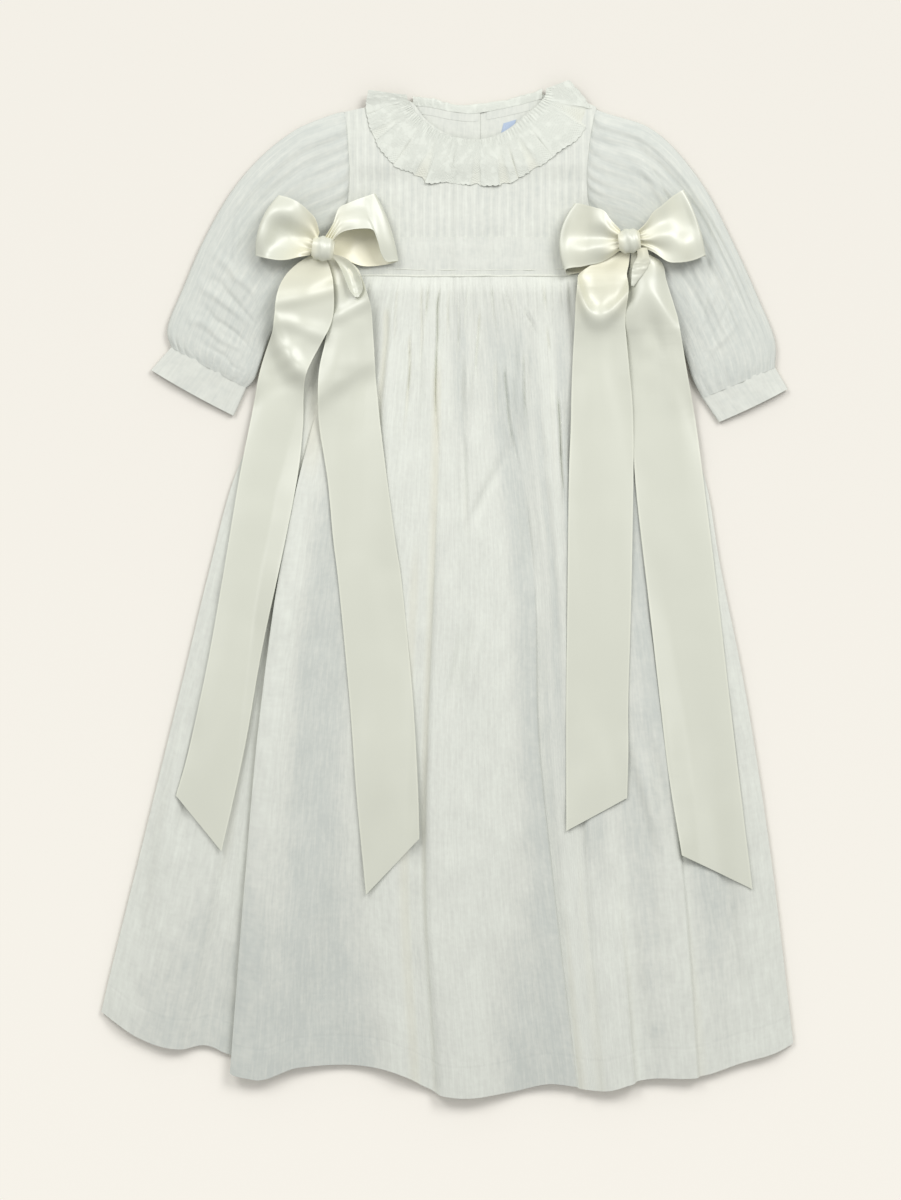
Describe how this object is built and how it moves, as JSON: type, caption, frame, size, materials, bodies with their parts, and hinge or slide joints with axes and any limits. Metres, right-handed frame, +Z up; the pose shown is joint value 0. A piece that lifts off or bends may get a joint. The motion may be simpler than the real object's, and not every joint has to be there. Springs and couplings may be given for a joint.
{
  "type": "christening gown laid flat",
  "caption": "Long baby christening gown laid flat, with a lace collar, puffed sleeves, a gathered skirt and a satin bow with long tails at each side of the waist.",
  "frame": {"origin": "on the surface the gown lies on, under the middle of its length and width", "axes": "+Y runs from hem to neck, +Z up from the surface, +X to the right as the gown is seen from above"},
  "size_m": [0.5481, 0.8032, 0.0322],
  "materials": {
    "cotton": "white cotton with woven stripes, matt",
    "lace": "fine off-white cotton lace",
    "satin": "cream satin ribbon, soft gloss",
    "piping": "cream cotton cord and binding",
    "label": "plain pale blue woven tape, bare"
  },
  "bodies": {
    "root": {"bodice_back_left": "cotton", "bodice_back_right": "cotton", "bodice_front": "cotton", "bow_left_knot": "satin", "bow_left_loop_left": "satin", "bow_left_loop_right": "satin", "bow_left_tail_inner": "satin", "bow_left_tail_outer": "satin", "bow_right_knot": "satin", "bow_right_loop_left": "satin", "bow_right_loop_right": "satin", "bow_right_tail_inner": "satin", "bow_right_tail_outer": "satin", "collar_back": "lace", "collar_front": "lace", "cuff_left": "cotton", "cuff_right": "cotton", "neck_binding_left": "piping", "neck_binding_right": "piping", "neck_label": "label", "skirt_back": "cotton", "skirt_front": "cotton", "sleeve_left": "cotton", "sleeve_right": "cotton", "waist_piping": "piping", "waistband_back": "cotton", "waistband_front": "cotton"}
  },
  "joints": []
}
